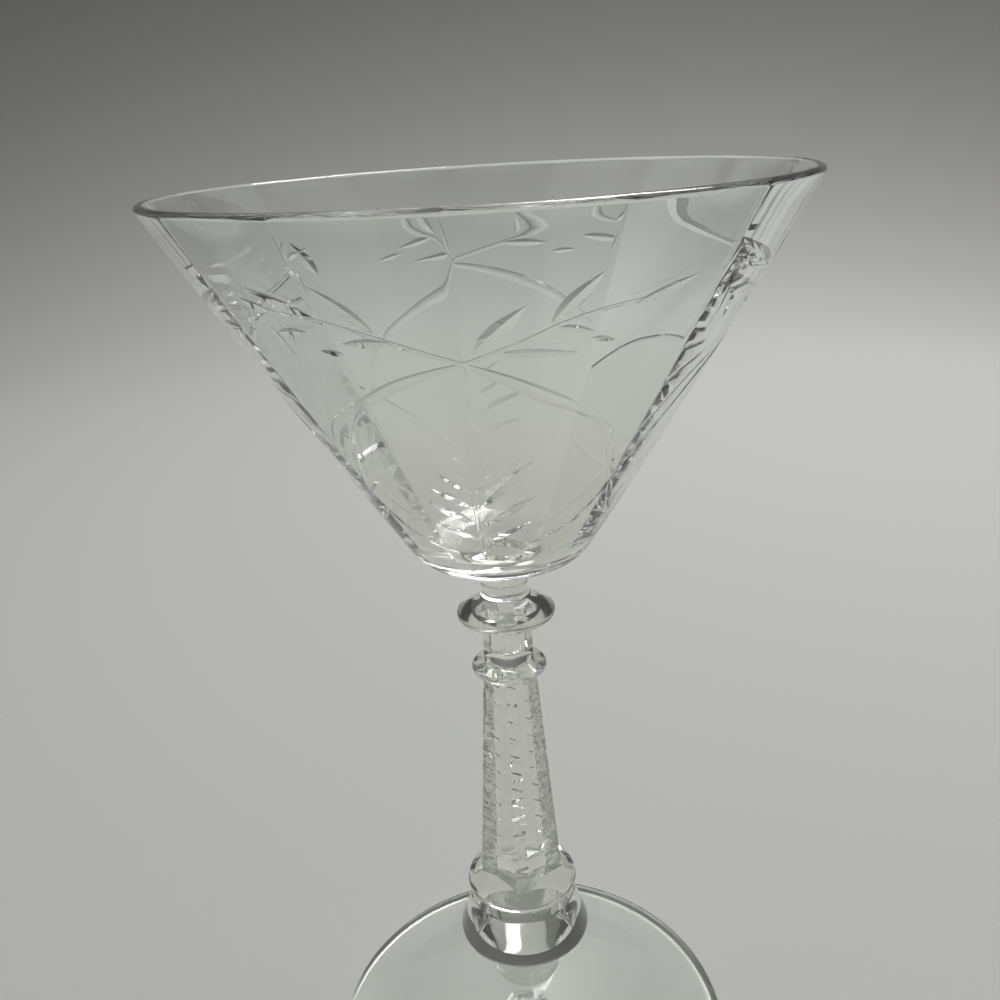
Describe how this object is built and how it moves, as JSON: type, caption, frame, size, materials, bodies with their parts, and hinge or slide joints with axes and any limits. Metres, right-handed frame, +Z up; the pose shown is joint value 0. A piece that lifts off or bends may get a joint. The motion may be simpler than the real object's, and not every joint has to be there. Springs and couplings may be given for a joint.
{
  "type": "cocktail glass",
  "caption": "Flared conical cocktail glass in clear glass: wide thin-walled bowl on a slim tapered square stem with notched corners, thin round collars and a round foot.",
  "frame": {"origin": "centre of the flat ring under the foot, on the surface that the glass stands on", "axes": "+Z up along the stem; +X and +Y point along two corners of the square stem, and -Y is the side that the picture shows"},
  "size_m": [0.088, 0.088, 0.15],
  "materials": {
    "clear_glass": "polished, colourless with a faint grey-green tint where thick"
  },
  "bodies": {
    "root": {"bowl": "clear_glass", "upper_merese": "clear_glass", "stem": "clear_glass", "lower_merese": "clear_glass", "foot": "clear_glass"}
  },
  "joints": []
}
